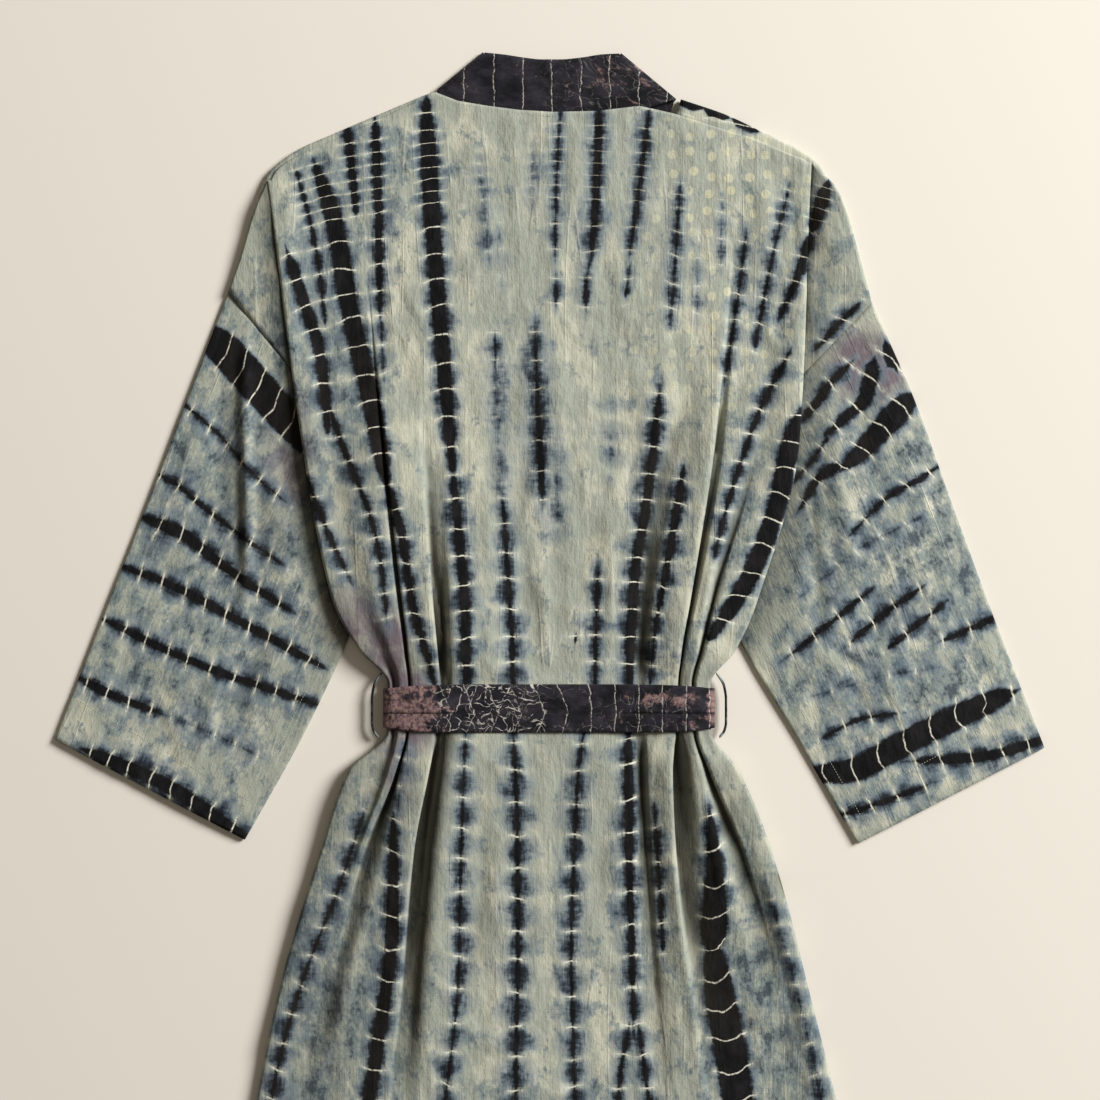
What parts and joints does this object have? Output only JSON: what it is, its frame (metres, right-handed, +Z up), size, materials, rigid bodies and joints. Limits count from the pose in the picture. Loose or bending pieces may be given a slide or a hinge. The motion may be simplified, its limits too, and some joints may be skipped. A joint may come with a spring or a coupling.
{
  "type": "kimono robe with sash, laid out flat",
  "caption": "Tie-dyed cotton kimono robe laid flat with its back up: wide straight sleeves, neck band, sash through side loops gathering the waist.",
  "frame": {"origin": "under the middle of the robe's outline, on the surface that it lies on", "axes": "+Y from the hem to the neck, +X to the right as seen from above with the back up, +Z up from the surface"},
  "size_m": [0.9924, 1.231, 0.019],
  "materials": {
    "dyed_cotton": "plain-woven crinkled cotton, stitched tie-dye in sage, slate blue and black",
    "dark_cotton": "the same cotton, dyed black with pale tie lines and plum patches"
  },
  "bodies": {
    "root": {"back": "dyed_cotton", "front_left": "dyed_cotton", "front_right": "dyed_cotton", "sleeve_left": "dyed_cotton", "sleeve_right": "dyed_cotton", "neck_band": "dark_cotton", "sash": "dark_cotton", "belt_loop_left": "dyed_cotton", "belt_loop_right": "dyed_cotton"}
  },
  "joints": []
}
